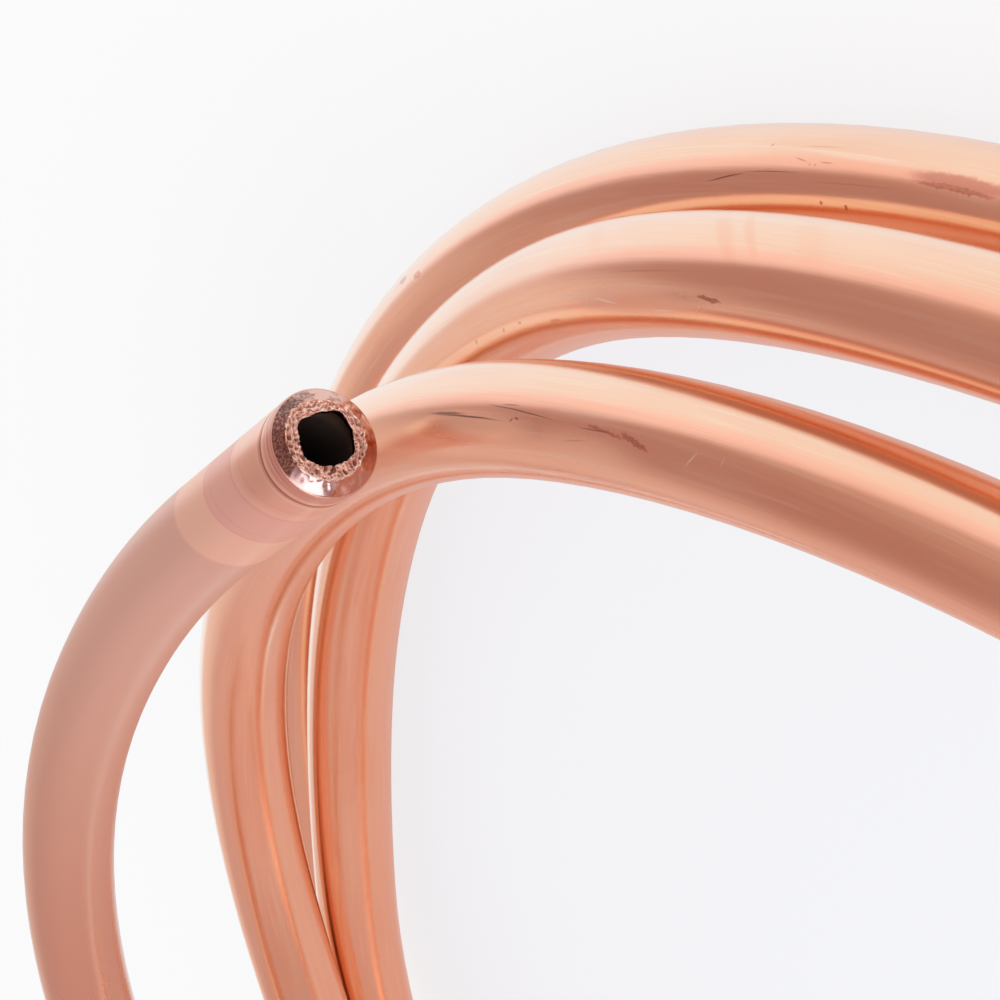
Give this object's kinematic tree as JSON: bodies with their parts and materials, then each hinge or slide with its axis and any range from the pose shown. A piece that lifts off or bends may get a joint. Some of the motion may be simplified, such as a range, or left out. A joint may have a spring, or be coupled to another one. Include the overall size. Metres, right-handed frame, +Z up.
{
  "type": "copper tube coil",
  "caption": "Loose coil of soft copper tube in open springy turns, with one cut free end on top and a tail that lies on the floor.",
  "frame": {"origin": "middle of the coil's box, on the floor it lies on", "axes": "+Z up along the coil's axis, away from the floor; +X and +Y lie across the coil, and the free end is on top at the -X +Y side"},
  "size_m": [0.1912, 0.1972, 0.0328],
  "materials": {
    "copper": "bright drawn copper"
  },
  "bodies": {
    "root": {"coil_tube": "copper"}
  },
  "joints": []
}
